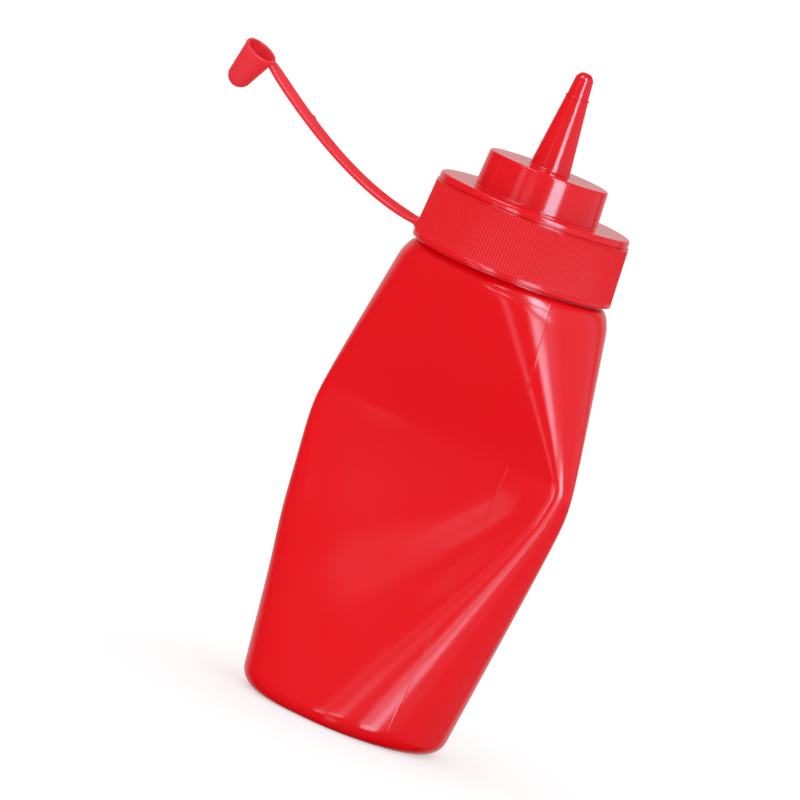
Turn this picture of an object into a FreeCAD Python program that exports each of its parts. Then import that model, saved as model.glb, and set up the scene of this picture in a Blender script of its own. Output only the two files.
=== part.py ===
import FreeCAD, Part
import math
import os

# Squeeze bottle for sauce: a soft plastic bottle pressed in at the front, a screw cap with a
# turret and a cone nozzle, and an open tip cap on a springy strap.
# Millimetres. +Z is up and the bottle stands on Z = 0. The front faces -Y, with +X to its right.
# The origin is in the middle of the base, on the axis of the cap and the nozzle.

# ---------------------------------------------------------------- driving sizes

SIZES = [
    # bottle: the heights of its three stations
    ("shoulder_height", 128.9, "top of the bottle's wall, where the shoulder turns in"),
    ("fold_height", 82.0, "height at which the wall is pressed in most"),
    ("widest_height", 76.5, "height at which the pressed wall is widest"),
    ("fold_rounding", 3.0, "how far above and below the fold the ridges take to turn"),
    ("wall_rounding", 6.5, "how far above and below it the panel and the sides take to turn"),
    # bottle: half of the width that the front view shows
    ("shoulder_half_width", 29.8, "half width at the shoulder"),
    ("fold_half_width", 37.9, "half width where the sides are pushed out most"),
    ("base_half_width", 29.1, "half width at the base"),
    # bottle: the flat panel that the thumb leaves
    ("panel_turn", 28.0, "degrees by which the pressed panel faces left of the front"),
    ("shoulder_panel", 25.8, "distance of the panel from the axis at the shoulder"),
    ("fold_panel", 3.5, "distance of the panel from the axis at the fold"),
    ("base_panel", 25.5, "distance of the panel from the axis at the base"),
    # bottle: the rounded ridges at the panel's two ends
    ("shoulder_ridge", 25.0, "radius of both ridges at the shoulder"),
    ("right_ridge", 4.3, "radius of the right ridge at the fold"),
    ("left_ridge", 5.0, "radius of the left ridge at the fold"),
    ("base_ridge", 27.0, "radius of both ridges at the base"),
    # bottle: the back, which stays round and is pressed in a little by the fingers
    ("shoulder_back", 29.5, "reach of the back behind the axis at the shoulder"),
    ("fold_back", 23.5, "reach of the back behind the axis at the fold"),
    ("base_back", 29.4, "reach of the back behind the axis at the base"),
    ("fold_back_radius", 21.0, "radius of the back at the fold"),
    # bottle: the dish under the thumb
    ("dish_depth", 1.2, "depth of the thumb's dish below the panel"),
    ("dish_place", -8.0, "place of the dish along the panel, from the axis"),
    ("dish_reach", 20.0, "reach of the dish along the panel"),
    ("dish_rise", 13.0, "reach of the dish up and down"),
    # bottle: its ends
    ("base_corner", 5.0, "radius between the wall and the base"),
    ("shoulder_corner", 2.6, "radius between the wall and the shoulder"),
    ("neck_radius", 23.0, "radius of the neck below the cap"),
    ("neck_rise", 0.9, "gap between the shoulder and the cap, where the neck shows"),
    # screw cap
    ("cap_height", 19.1, "height of the cap from its lower edge to its top face"),
    ("skirt_height", 16.9, "height of the ribbed skirt"),
    ("skirt_low_radius", 28.8, "radius of the skirt at its lower edge"),
    ("skirt_top_radius", 27.8, "radius of the skirt at its upper edge"),
    ("lip_radius", 27.4, "radius of the smooth lip above the skirt"),
    ("lip_rounding", 1.0, "rounding of the lip's upper edge"),
    ("turret_height", 10.2, "height of the turret above the cap's top face"),
    ("turret_low_radius", 17.7, "radius of the turret at its foot"),
    ("turret_top_radius", 17.1, "radius of the turret at its top"),
    ("turret_rounding", 0.7, "rounding of the turret's upper edge"),
    # nozzle
    ("nozzle_height", 28.4, "height of the nozzle above the turret"),
    ("nozzle_foot_radius", 5.75, "radius of the nozzle at its foot"),
    ("nozzle_foot_fillet", 0.6, "fillet between the nozzle and the turret"),
    ("ring_height", 20.9, "height of the parting ring above the turret"),
    ("ring_radius", 3.45, "radius of the parting ring"),
    ("ring_thickness", 0.4, "thickness of the parting ring"),
    ("cone_top_radius", 3.2, "radius of the nozzle just below the ring"),
    ("tip_low_radius", 3.05, "radius of the nozzle's tip just above the ring"),
    ("tip_top_radius", 2.6, "radius of the nozzle's tip where its dome starts"),
    ("bore_radius", 1.0, "radius of the spout's bore"),
    ("bore_depth", 14.0, "depth of the bore that is open to the top"),
    # tip cap, which lies to the left of the bottle on its strap
    ("tip_cap_x", -84.7, "place of the tip cap's mouth, to the right of the axis"),
    ("tip_cap_y", -1.0, "place of the tip cap's mouth, behind the axis"),
    ("tip_cap_rise", 31.8, "height of the middle of the tip cap's mouth above the cap's lower edge"),
    ("tip_cap_lean", 20.0, "degrees by which the mouth leans to the right"),
    ("tip_cap_nod", 19.0, "degrees by which the mouth leans to the front"),
    ("tip_cap_length", 13.0, "length from the mouth to the closed end"),
    ("tip_cap_mouth_radius", 4.85, "outer radius at the mouth"),
    ("tip_cap_end_radius", 3.5, "outer radius where the closed end starts to round"),
    ("tip_cap_wall", 0.75, "wall of the tip cap"),
    # strap
    ("strap_width", 3.6, "width of the strap"),
    ("strap_thickness", 1.4, "thickness of the strap"),
    ("strap_root_angle", 199.0, "degrees round the cap from its right side to the strap's root"),
    ("strap_root_rise", 2.3, "height of the strap's middle above the cap's lower edge at its root"),
    ("strap_root_slope", 3.0, "degrees by which the strap climbs at its root"),
    ("strap_end_slope", 37.0, "degrees by which the strap climbs at the tip cap"),
    ("strap_roll", 27.0, "degrees by which the strap's upper face turns to the front between its ends"),
    ("strap_end_drop", 1.3, "distance of the strap's middle below the tip cap's rim"),
    ("strap_pad_width", 6.0, "width of the pad that joins the strap to the skirt"),
    ("strap_pad_height", 3.0, "height of that pad"),
    ("strap_pad_reach", 1.6, "how far the pad stands out from the skirt"),
]

document = FreeCAD.newDocument("SqueezeBottle")
sheet = document.addObject("Spreadsheet::Sheet", "Sizes")
for row, (name, value, meaning) in enumerate(SIZES, start=1):
    sheet.set("A%d" % row, name)
    sheet.set("B%d" % row, repr(value))
    sheet.set("C%d" % row, meaning)
    sheet.setAlias("B%d" % row, name)
document.recompute()


def size(name):
    """The value of one driving size."""
    return float(sheet.get(name))


def bind(item, **expressions):
    """Ties properties of an object to formulas in the sheet's names."""
    for prop, formula in expressions.items():
        words = []
        for word in formula.split():
            known = word.strip("()") in ALIASES
            words.append(word.replace(word.strip("()"), "Sizes." + word.strip("()")) if known else word)
        item.setExpression(prop.replace("__", "."), " ".join(words))


ALIASES = {name for name, value, meaning in SIZES}
UP = FreeCAD.Vector(0, 0, 1)

# ---------------------------------------------------------------- bottle

SECTION_POINTS = 72       # points on each half turn of a level section, and its mirror
WALL_SECTIONS = 22        # level sections up the pressed wall
CORNER_SECTIONS = 5       # level sections round each rounded end
ARC_STEPS = 40            # steps that each arc of a section is measured in
TURNING_SHARE = 0.45      # how strongly points gather where the section turns

panel_turn = math.radians(size("panel_turn"))
PANEL_OUT = (-math.sin(panel_turn), -math.cos(panel_turn))
PANEL_ALONG = (math.cos(panel_turn), -math.sin(panel_turn))


def pressed_share(height, peak, rounding):
    """How far a size has changed at one height: 1 at the peak, 0 at the shoulder and the base."""
    reach = size("shoulder_height") - peak if height > peak else peak
    run = math.hypot(height - peak, rounding) - rounding
    return 1 - run / (math.hypot(reach, rounding) - rounding)


def between(height, shoulder, fold, base):
    """A size of the panel or the back at one height, from its values at the three stations."""
    end = shoulder if height > size("fold_height") else base
    return end + (fold - end) * pressed_share(height, size("fold_height"), size("wall_rounding"))


def half_width_at(height):
    """Half of the front view's width at one height."""
    above = height > size("widest_height")
    end = size("shoulder_half_width") if above else size("base_half_width")
    share = pressed_share(height, size("widest_height"), size("wall_rounding"))
    return end + (size("fold_half_width") - end) * share


def ridge_radius(height, fold):
    """Radius of a ridge at one height, from its radius at the fold."""
    end = size("shoulder_ridge") if height > size("fold_height") else size("base_ridge")
    return end + (fold - end) * pressed_share(height, size("fold_height"), size("fold_rounding"))


def ridge_circle(height, side, radius):
    """Circle of a ridge: it touches the front view's outline and the pressed panel."""
    panel = between(height, size("shoulder_panel"), size("fold_panel"), size("base_panel"))
    x = side * (half_width_at(height) - radius)
    y = (panel - radius - x * PANEL_OUT[0]) / PANEL_OUT[1]
    return x, y, radius


def back_circle(height):
    """Circle of the back, on the line through the axis that the panel faces."""
    radius = between(height, size("shoulder_ridge"), size("fold_back_radius"), size("base_ridge"))
    reach = between(height, size("shoulder_back"), size("fold_back"), size("base_back"))
    return -PANEL_OUT[0] * (reach - radius), -PANEL_OUT[1] * (reach - radius), radius


def section_circles(height):
    """The three circles that a level section is wrapped round: right, back and left."""
    right = ridge_circle(height, 1, ridge_radius(height, size("right_ridge")))
    left = ridge_circle(height, -1, ridge_radius(height, size("left_ridge")))
    return [right, back_circle(height), left]


def tangent_angle(first, second):
    """Direction that the common tangent of two circles faces, going anticlockwise."""
    across = (second[0] - first[0], second[1] - first[1])
    distance = math.hypot(across[0], across[1])
    return math.atan2(across[1], across[0]) - math.acos((first[2] - second[2]) / distance)


def section_pieces(height, inset):
    """Arcs and straights of a section as (start, end, start angle, end angle, circle)."""
    circles = [(x, y, radius - inset) for x, y, radius in section_circles(height)]
    count = len(circles)
    leave = [tangent_angle(circles[i], circles[(i + 1) % count]) for i in range(count)]
    pieces = []
    for i in range(count):
        start = leave[i - 1]
        end = leave[i]
        while end < start:
            end += 2 * math.pi
        pieces.append((circles[i], start, end))
    return pieces


def on_circle(circle, angle):
    return circle[0] + circle[2] * math.cos(angle), circle[1] + circle[2] * math.sin(angle)


def half_section(pieces, first, last, count):
    """Points from the middle of one ridge to the middle of another, gathered where it turns."""
    track = []
    for index in range(first, last + 1):
        circle, start, end = pieces[index % len(pieces)]
        middle = (start + end) / 2
        low = middle if index == first else start
        high = middle if index == last else end
        for step in range(ARC_STEPS + 1):
            angle = low + (high - low) * step / ARC_STEPS
            x, y = on_circle(circle, angle)
            track.append((x, y, angle))
    measure = [0.0]
    length = sum(math.dist(a[:2], b[:2]) for a, b in zip(track, track[1:]))
    for a, b in zip(track, track[1:]):
        turned = math.remainder(b[2] - a[2], 2 * math.pi)
        grown = (1 - TURNING_SHARE) * math.dist(a[:2], b[:2]) / length + TURNING_SHARE * turned / math.pi
        measure.append(measure[-1] + grown)
    points = []
    at = 0
    for i in range(count):
        goal = measure[-1] * i / count
        while measure[at + 1] < goal:
            at += 1
        part = (goal - measure[at]) / (measure[at + 1] - measure[at])
        a = track[at]
        b = track[at + 1]
        points.append((a[0] + (b[0] - a[0]) * part, a[1] + (b[1] - a[1]) * part))
    return points


def dished(x, y, height):
    """Moves a point of the panel in by the depth of the thumb's dish there."""
    along = x * PANEL_ALONG[0] + y * PANEL_ALONG[1]
    out = x * PANEL_OUT[0] + y * PANEL_OUT[1]
    across = (along - size("dish_place")) / size("dish_reach")
    upward = (height - size("fold_height")) / size("dish_rise")
    panel = between(height, size("shoulder_panel"), size("fold_panel"), size("base_panel"))
    front = max(0.0, 1 - (panel - out) / size("right_ridge"))
    depth = size("dish_depth") * math.exp(-across ** 2 - upward ** 2) * min(1.0, front)
    return x - PANEL_OUT[0] * depth, y - PANEL_OUT[1] * depth


def section_wire(height, inset, level):
    """One level section of the bottle's wall, drawn in by inset and laid at level."""
    pieces = section_pieces(height, inset)
    points = half_section(pieces, 0, 2, SECTION_POINTS // 2)
    points += half_section(pieces, 2, 3, SECTION_POINTS // 2)
    corners = []
    for x, y in points:
        x, y = dished(x, y, height)
        corners.append(FreeCAD.Vector(x, y, level))
    curve = Part.BSplineCurve()
    curve.interpolate(Points=corners, PeriodicFlag=True)
    return Part.Wire([curve.toShape()])


def bottle_solid():
    """The pressed bottle: rounded base, wall, rounded shoulder, and the neck on top."""
    corner = size("base_corner")
    shoulder = size("shoulder_height")
    turn = size("shoulder_corner")
    sections = []
    for step in range(CORNER_SECTIONS):
        angle = math.pi / 2 * step / CORNER_SECTIONS
        inset = corner * (1 - math.sin(angle))
        level = corner * (1 - math.cos(angle))
        sections.append(section_wire(level, inset, level))
    for step in range(WALL_SECTIONS + 1):
        level = corner + (shoulder - corner) * step / WALL_SECTIONS
        sections.append(section_wire(level, 0, level))
    for step in range(1, CORNER_SECTIONS + 1):
        angle = math.pi / 2 * step / CORNER_SECTIONS
        inset = turn * (1 - math.cos(angle))
        level = shoulder + turn * math.sin(angle)
        sections.append(section_wire(shoulder, inset, level))
    wall = Part.makeLoft(sections, True, False)
    top = shoulder + turn
    neck = Part.makeCylinder(size("neck_radius"), size("neck_rise"), FreeCAD.Vector(0, 0, top), UP)
    return wall.fuse(neck).removeSplitter()


bottle = document.addObject("Part::Feature", "Bottle")
bottle.Label = "bottle_body"
bottle.Shape = bottle_solid()
bottle.Placement = FreeCAD.Placement()

# ---------------------------------------------------------------- screw cap, turret and nozzle

CAP_FOOT = "shoulder_height + shoulder_corner + neck_rise"
CAP_TOP = CAP_FOOT + " + cap_height"
TURRET_TOP = CAP_TOP + " + turret_height"
EDGE_MATCH = 0.01         # how near an edge's radius and height are to the ones asked for


def cone(name, low_radius, top_radius, rise, foot):
    """A cone or cylinder on the axis, with its sizes given as formulas."""
    item = document.addObject("Part::Cone", name)
    bind(item, Radius1=low_radius, Radius2=top_radius, Height=rise, Placement__Base__z=foot)
    return item


def joined(name, pieces):
    """One solid made of several that overlap or share a face."""
    item = document.addObject("Part::MultiFuse", name)
    item.Shapes = pieces
    item.Refine = True
    return item


def without(name, base, tool):
    """A solid with another one taken away."""
    item = document.addObject("Part::Cut", name)
    item.Base = base
    item.Tool = tool
    item.Refine = True
    return item


def rounded(name, base, rings):
    """Rounds circular edges, each named by its height, its radius and the rounding."""
    document.recompute()
    chosen = []
    for height, radius, rounding in rings:
        for number, edge in enumerate(base.Shape.Edges, start=1):
            circle = edge.Curve
            if not isinstance(circle, Part.Circle):
                continue
            if abs(circle.Radius - radius) < EDGE_MATCH and abs(circle.Center.z - height) < EDGE_MATCH:
                chosen.append((number, rounding, rounding))
    if len(chosen) < len(rings):
        raise RuntimeError(name + ": an edge to round is missing")
    item = document.addObject("Part::Fillet", name)
    item.Base = base
    item.Edges = chosen
    return item


skirt = cone("Skirt", "skirt_low_radius", "skirt_top_radius", "skirt_height", CAP_FOOT)
lip = cone("Lip", "lip_radius", "lip_radius", "cap_height - skirt_height", CAP_FOOT + " + skirt_height")
turret = cone("Turret", "turret_low_radius", "turret_top_radius", "turret_height", CAP_TOP)
nozzle = cone("Nozzle", "nozzle_foot_radius", "cone_top_radius", "ring_height", TURRET_TOP)
ring = cone("PartingRing", "ring_radius", "ring_radius", "ring_thickness", TURRET_TOP + " + ring_height")
tip = cone("Tip", "tip_low_radius", "tip_top_radius",
           "nozzle_height - ring_height - ring_thickness - tip_top_radius",
           TURRET_TOP + " + ring_height + ring_thickness")
dome = document.addObject("Part::Sphere", "TipDome")
dome.Angle1 = 0
bind(dome, Radius="tip_top_radius", Placement__Base__z=TURRET_TOP + " + nozzle_height - tip_top_radius")
cap_blank = joined("CapBlank", [skirt, lip, turret, nozzle, ring, tip, dome])
bore = cone("Bore", "bore_radius", "bore_radius", "bore_depth", TURRET_TOP + " + nozzle_height - bore_depth")
cap_bored = without("CapBored", cap_blank, bore)

cap_foot = size("shoulder_height") + size("shoulder_corner") + size("neck_rise")
cap_top = cap_foot + size("cap_height")
turret_top = cap_top + size("turret_height")
screw_cap = rounded("ScrewCap", cap_bored, [
    (cap_top, size("lip_radius"), size("lip_rounding")),
    (turret_top, size("turret_top_radius"), size("turret_rounding")),
    (turret_top, size("nozzle_foot_radius"), size("nozzle_foot_fillet")),
])
screw_cap.Label = "screw_cap"

# ---------------------------------------------------------------- tip cap

# Modelled with the middle of its mouth at the origin and its closed end below, then leaned.
BODY_LENGTH = "tip_cap_length - tip_cap_end_radius"
tip_cap_shell = cone("TipCapShell", "tip_cap_end_radius", "tip_cap_mouth_radius", BODY_LENGTH,
                     "tip_cap_end_radius - tip_cap_length")
tip_cap_end = document.addObject("Part::Sphere", "TipCapEnd")
bind(tip_cap_end, Radius="tip_cap_end_radius", Placement__Base__z="tip_cap_end_radius - tip_cap_length")
tip_cap_outside = joined("TipCapOutside", [tip_cap_shell, tip_cap_end])
tip_cap_room = cone("TipCapRoom", "tip_cap_end_radius - tip_cap_wall", "tip_cap_mouth_radius - tip_cap_wall",
                    BODY_LENGTH, "tip_cap_end_radius - tip_cap_length")
tip_cap_room_end = document.addObject("Part::Sphere", "TipCapRoomEnd")
bind(tip_cap_room_end, Radius="tip_cap_end_radius - tip_cap_wall",
     Placement__Base__z="tip_cap_end_radius - tip_cap_length")
tip_cap_hollow = joined("TipCapHollow", [tip_cap_room, tip_cap_room_end])
tip_cap = without("TipCap", tip_cap_outside, tip_cap_hollow)
tip_cap.Label = "tip_cap"

mouth_out = FreeCAD.Vector(math.tan(math.radians(size("tip_cap_lean"))),
                           -math.tan(math.radians(size("tip_cap_nod"))), 1)
mouth_out.normalize()
mouth_middle = FreeCAD.Vector(size("tip_cap_x"), size("tip_cap_y"), cap_foot + size("tip_cap_rise"))
leaned = FreeCAD.Placement(mouth_middle, FreeCAD.Rotation(UP, mouth_out))
tip_cap.Placement = leaned

# ---------------------------------------------------------------- strap

STRAP_SECTIONS = 16
HANDLE_SHARE = 1 / 3      # length of the curve's handles as a share of the strap's span
LINE_STEP = 0.01          # share of the strap's line that its direction is measured over
LEADS_AWAY = FreeCAD.Vector(-1, 0, 0)   # the way the strap leads, away from the cap
ROLL_EVENNESS = 8         # even power: the higher, the nearer its ends the strap takes up its roll


def curve_point(start, start_push, end_push, end, share):
    """A point of a Bezier curve with two handles."""
    rest = 1 - share
    return (start * rest ** 3 + start_push * (3 * rest ** 2 * share)
            + end_push * (3 * rest * share ** 2) + end * share ** 3)


def strap_line():
    """The strap's middle line from inside the skirt to inside the tip cap's wall."""
    angle = math.radians(size("strap_root_angle"))
    outward = FreeCAD.Vector(math.cos(angle), -math.sin(angle), 0)
    rise = size("strap_root_rise")
    taper = (size("skirt_top_radius") - size("skirt_low_radius")) * rise / size("skirt_height")
    root_radius = size("skirt_low_radius") + taper
    start = outward * (root_radius - size("strap_pad_reach")) + UP * (cap_foot + rise)
    towards_cap = -LEADS_AWAY
    rim = towards_cap - mouth_out * towards_cap.dot(mouth_out)
    rim.normalize()
    end = mouth_middle + rim * (size("tip_cap_mouth_radius") - size("tip_cap_wall")) \
        - mouth_out * size("strap_end_drop")
    reach = (end - start).Length * HANDLE_SHARE
    start_slope = math.radians(size("strap_root_slope"))
    end_slope = math.radians(size("strap_end_slope"))
    leave = outward * math.cos(start_slope) + UP * math.sin(start_slope)
    arrive = LEADS_AWAY * math.cos(end_slope) + UP * math.sin(end_slope)
    return start, start + leave * reach, end - arrive * reach, end


def strap_section(line, share):
    """Outline of the strap across its line, turned little by little to the tip cap's lean."""
    here = curve_point(*line, share)
    ahead = curve_point(*line, share + LINE_STEP) - curve_point(*line, share - LINE_STEP)
    ahead.normalize()
    level = UP.cross(ahead)
    level.normalize()
    rolled = mouth_out.cross(ahead)
    rolled.normalize()
    across = level * (1 - share) + rolled * share
    across.normalize()
    thick = ahead.cross(across)
    roll = math.radians(size("strap_roll")) * (1 - (2 * share - 1) ** ROLL_EVENNESS)
    across, thick = (across * math.cos(roll) - thick * math.sin(roll),
                     thick * math.cos(roll) + across * math.sin(roll))
    half_width = across * (size("strap_width") / 2)
    half_thickness = thick * (size("strap_thickness") / 2)
    corners = [here + half_width + half_thickness, here - half_width + half_thickness,
               here - half_width - half_thickness, here + half_width - half_thickness]
    return Part.makePolygon(corners + corners[:1])


def strap_solid():
    """The strap with its root pad, cut to the skirt's and the tip cap's own faces."""
    line = strap_line()
    sections = [strap_section(line, i / STRAP_SECTIONS) for i in range(STRAP_SECTIONS + 1)]
    band = Part.makeLoft(sections, True, True)
    width = size("strap_pad_width")
    height = size("strap_pad_height")
    reach = 2 * size("strap_pad_reach")
    pad = Part.makeBox(reach, width, height, FreeCAD.Vector(0, -width / 2, -height / 2))
    pad.Placement = FreeCAD.Placement(line[0], FreeCAD.Rotation(UP, -size("strap_root_angle")))
    band = band.fuse(pad)
    band = band.cut(screw_cap.Shape)
    band = band.cut(tip_cap_outside.Shape.transformed(leaned.toMatrix()))
    return max(band.Solids, key=lambda piece: piece.Volume)


document.recompute()
strap = document.addObject("Part::Feature", "Strap")
strap.Label = "tether_strap"
strap.Shape = strap_solid()
strap.Placement = FreeCAD.Placement()

# ---------------------------------------------------------------- check and write

document.recompute()
SUB_PARTS = [bottle, screw_cap, tip_cap, strap]
for item in document.Objects:
    if "Invalid" in item.State or "Error" in item.State:
        raise RuntimeError(item.Name + " failed: " + ", ".join(item.State))
for item in SUB_PARTS:
    if item.Shape.isNull() or not item.Shape.isValid() or len(item.Shape.Solids) != 1:
        raise RuntimeError(item.Label + " isn't one valid solid")

os.makedirs("parts", exist_ok=True)
for item in SUB_PARTS:
    item.Shape.exportStep("parts/" + item.Label + ".step")
    box = item.Shape.BoundBox
    print("%-14s %9.1f mm3  x %.1f to %.1f  y %.1f to %.1f  z %.1f to %.1f" % (
        item.Label, item.Shape.Volume, box.XMin, box.XMax, box.YMin, box.YMax, box.ZMin, box.ZMax))
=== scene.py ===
"""Squeeze bottle: the finished surfaces and the studio round the packed frame.

Laid out as an add-on: one operator builds each piece, one builds the studio, and a panel lists
them. Metres throughout, in the frame's own axes: +Z is up and the front faces -Y.
"""

import math

import bpy
import numpy as np
from bpy.props import FloatProperty, FloatVectorProperty, IntProperty, PointerProperty
from mathutils import Matrix, Vector


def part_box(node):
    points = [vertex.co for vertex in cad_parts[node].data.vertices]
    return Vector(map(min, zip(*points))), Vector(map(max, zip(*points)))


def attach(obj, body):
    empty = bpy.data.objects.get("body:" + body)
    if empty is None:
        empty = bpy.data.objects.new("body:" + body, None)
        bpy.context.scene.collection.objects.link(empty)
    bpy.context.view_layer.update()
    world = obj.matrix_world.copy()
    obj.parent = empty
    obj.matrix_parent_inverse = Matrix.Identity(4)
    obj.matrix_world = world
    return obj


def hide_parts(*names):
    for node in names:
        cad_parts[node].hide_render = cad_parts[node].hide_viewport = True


bl_info = {
    "name": "Squeeze Bottle",
    "version": (1, 0, 0),
    "blender": (4, 5, 0),
    "location": "View3D > Sidebar > Squeeze Bottle",
    "description": "Builds a pressed squeeze bottle with its nozzle cap, strap and tip cap",
    "category": "Object",
}

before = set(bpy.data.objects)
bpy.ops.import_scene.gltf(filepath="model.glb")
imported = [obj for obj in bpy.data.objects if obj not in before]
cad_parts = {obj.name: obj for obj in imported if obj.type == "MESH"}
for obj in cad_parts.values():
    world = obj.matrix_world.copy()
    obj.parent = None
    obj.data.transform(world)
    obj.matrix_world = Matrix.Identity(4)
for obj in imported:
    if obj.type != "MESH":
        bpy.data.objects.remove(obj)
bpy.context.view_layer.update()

MM = 0.001
CAP_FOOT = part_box("screw_cap")[0].z
NOZZLE_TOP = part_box("screw_cap")[1].z
SKIRT_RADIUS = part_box("screw_cap")[1].x
UP = Vector((0, 0, 1))


# ---------------------------------------------------------------- sizes and colours

def stations(name, shoulder, fold, base, meaning):
    """A size in millimetres given at the bottle's shoulder, at its fold and at its base."""
    return FloatVectorProperty(name=name, description=meaning + " at the shoulder, the fold and the base",
                               size=3, default=(shoulder * MM, fold * MM, base * MM), unit="LENGTH")


def length(name, millimetres, meaning):
    """A length in millimetres."""
    return FloatProperty(name=name, description=meaning, default=millimetres * MM, unit="LENGTH")


def angle(name, degrees, meaning):
    """An angle in degrees."""
    return FloatProperty(name=name, description=meaning, default=math.radians(degrees), unit="ROTATION")


def colour(name, red, green, blue, meaning):
    """A colour in linear red, green and blue."""
    return FloatVectorProperty(name=name, description=meaning, subtype="COLOR", size=3, min=0, max=1,
                               default=(red, green, blue))


def share(name, value, meaning):
    """A value from 0 to 1."""
    return FloatProperty(name=name, description=meaning, default=value, min=0, max=1, subtype="FACTOR")


def point(name, x, y, z, meaning):
    """A place in millimetres."""
    return FloatVectorProperty(name=name, description=meaning, subtype="TRANSLATION", size=3, unit="LENGTH",
                               default=(x * MM, y * MM, z * MM))


class BottleSizes(bpy.types.PropertyGroup):
    """The pressed bottle."""
    shoulder_height: length("Shoulder height", 128.9, "Top of the wall, where the shoulder turns in")
    fold_height: length("Fold height", 82.0, "Height at which the wall is pressed in most")
    widest_height: length("Widest height", 76.5, "Height at which the pressed wall is widest")
    fold_rounding: length("Fold rounding", 3.0, "How far above and below the fold the ridges take to turn")
    wall_rounding: length("Wall rounding", 6.5, "How far above and below it the wall takes to turn")
    half_width: stations("Half width", 29.8, 37.9, 29.1, "Half of the front view's width")
    panel: stations("Pressed panel", 25.8, 3.5, 25.5, "Distance of the pressed panel from the axis")
    panel_turn: angle("Panel turn", 28.0, "How far the pressed panel faces left of the front")
    right_ridge: stations("Right ridge", 25.0, 4.3, 27.0, "Radius of the panel's right ridge")
    left_ridge: stations("Left ridge", 25.0, 5.0, 27.0, "Radius of the panel's left ridge")
    back_radius: stations("Back radius", 25.0, 21.0, 27.0, "Radius of the round back")
    back_reach: stations("Back reach", 29.5, 23.5, 29.4, "Reach of the back behind the axis")
    dish_depth: length("Dish depth", 1.2, "Depth of the thumb's dish below the panel")
    dish_place: length("Dish place", -8.0, "Place of the dish along the panel, from the axis")
    dish_reach: length("Dish reach", 20.0, "Reach of the dish along the panel")
    dish_rise: length("Dish rise", 13.0, "Reach of the dish up and down")
    base_corner: length("Base corner", 5.0, "Radius between the wall and the base")
    shoulder_corner: length("Shoulder corner", 2.6, "Radius between the wall and the shoulder")
    shoulder_drop: length("Shoulder drop", 3.6, "How far below the shoulder its rounding starts")
    shoulder_inset: length("Shoulder inset", 3.2, "How far the shoulder's rounding reaches inward")
    neck_radius: length("Neck radius", 26.6, "Radius of the neck's foot below the cap")
    crease_depth: length("Crease depth", 2.0, "Depth of the soft crease that runs down from the fold")
    pillow_height: length("Pillow height", 1.9, "Height of the soft bulge below the thumb's dish")
    seam_height: length("Mould seam", 0.03, "How far the mould's seam stands out")
    seam_width: length("Mould seam width", 0.14, "Half of the width of the mould's seam")


class CapSizes(bpy.types.PropertyGroup):
    """The screw cap with its turret and nozzle, from the cap's lower edge up."""
    skirt_height: length("Skirt height", 16.9, "Height of the ribbed skirt")
    skirt_top_radius: length("Skirt top radius", 27.8, "Radius of the skirt at its upper edge")
    ribs: IntProperty(name="Ribs", description="Number of ribs round the skirt",
                      default=200, min=8, max=400)
    rib_depth: length("Rib depth", 0.28, "Depth of the grooves between the ribs")
    cap_height: length("Cap height", 19.1, "Height of the cap's top face")
    lip_radius: length("Lip radius", 27.4, "Radius of the smooth lip above the skirt")
    turret_height: length("Turret height", 10.2, "Height of the turret above the cap's top face")
    turret_low_radius: length("Turret foot radius", 17.7, "Radius of the turret at its foot")
    turret_top_radius: length("Turret top radius", 17.1, "Radius of the turret at its top")
    nozzle_foot_radius: length("Nozzle foot radius", 5.75, "Radius of the nozzle at its foot")
    ring_height: length("Parting ring height", 20.9, "Height of the parting ring above the turret")
    tip_radius: length("Tip radius", 2.6, "Radius of the nozzle's rounded tip")
    bore_radius: length("Bore radius", 1.0, "Radius of the spout's bore")


class TipCapSizes(bpy.types.PropertyGroup):
    """The hollow tip cap that lies out to the left on its strap."""
    mouth: point("Mouth", -84.7, -1.0, 164.2, "Middle of the tip cap's mouth")
    lean: angle("Lean", 20.0, "How far the mouth leans to the right")
    nod: angle("Nod", 19.0, "How far the mouth leans to the front")
    length: length("Length", 13.0, "Length from the mouth to the closed end")
    mouth_radius: length("Mouth radius", 4.85, "Outer radius at the mouth")
    end_radius: length("End radius", 3.5, "Outer radius where the closed end starts to round")
    wall: length("Wall", 0.75, "Thickness of the wall")


class StrapSizes(bpy.types.PropertyGroup):
    """The springy strap from the skirt to the tip cap."""
    width: length("Width", 3.6, "Width of the strap")
    thickness: length("Thickness", 1.4, "Thickness of the strap")
    root_angle: angle("Root angle", 199.0, "Angle round the cap from its right side to the root")
    root_rise: length("Root rise", 2.3, "Height of the root above the cap's lower edge")
    root_slope: angle("Root slope", 3.0, "How steeply the strap climbs at its root")
    end_slope: angle("End slope", 37.0, "How steeply the strap climbs at the tip cap")
    roll: angle("Roll", 27.0, "How far the strap's upper face turns to the front between its ends")
    end_drop: length("End drop", 1.3, "Distance of the strap's middle below the tip cap's rim")
    pad_width: length("Pad width", 6.0, "Width of the pad at the root")
    pad_height: length("Pad height", 3.0, "Height of the pad at the root")


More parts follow.
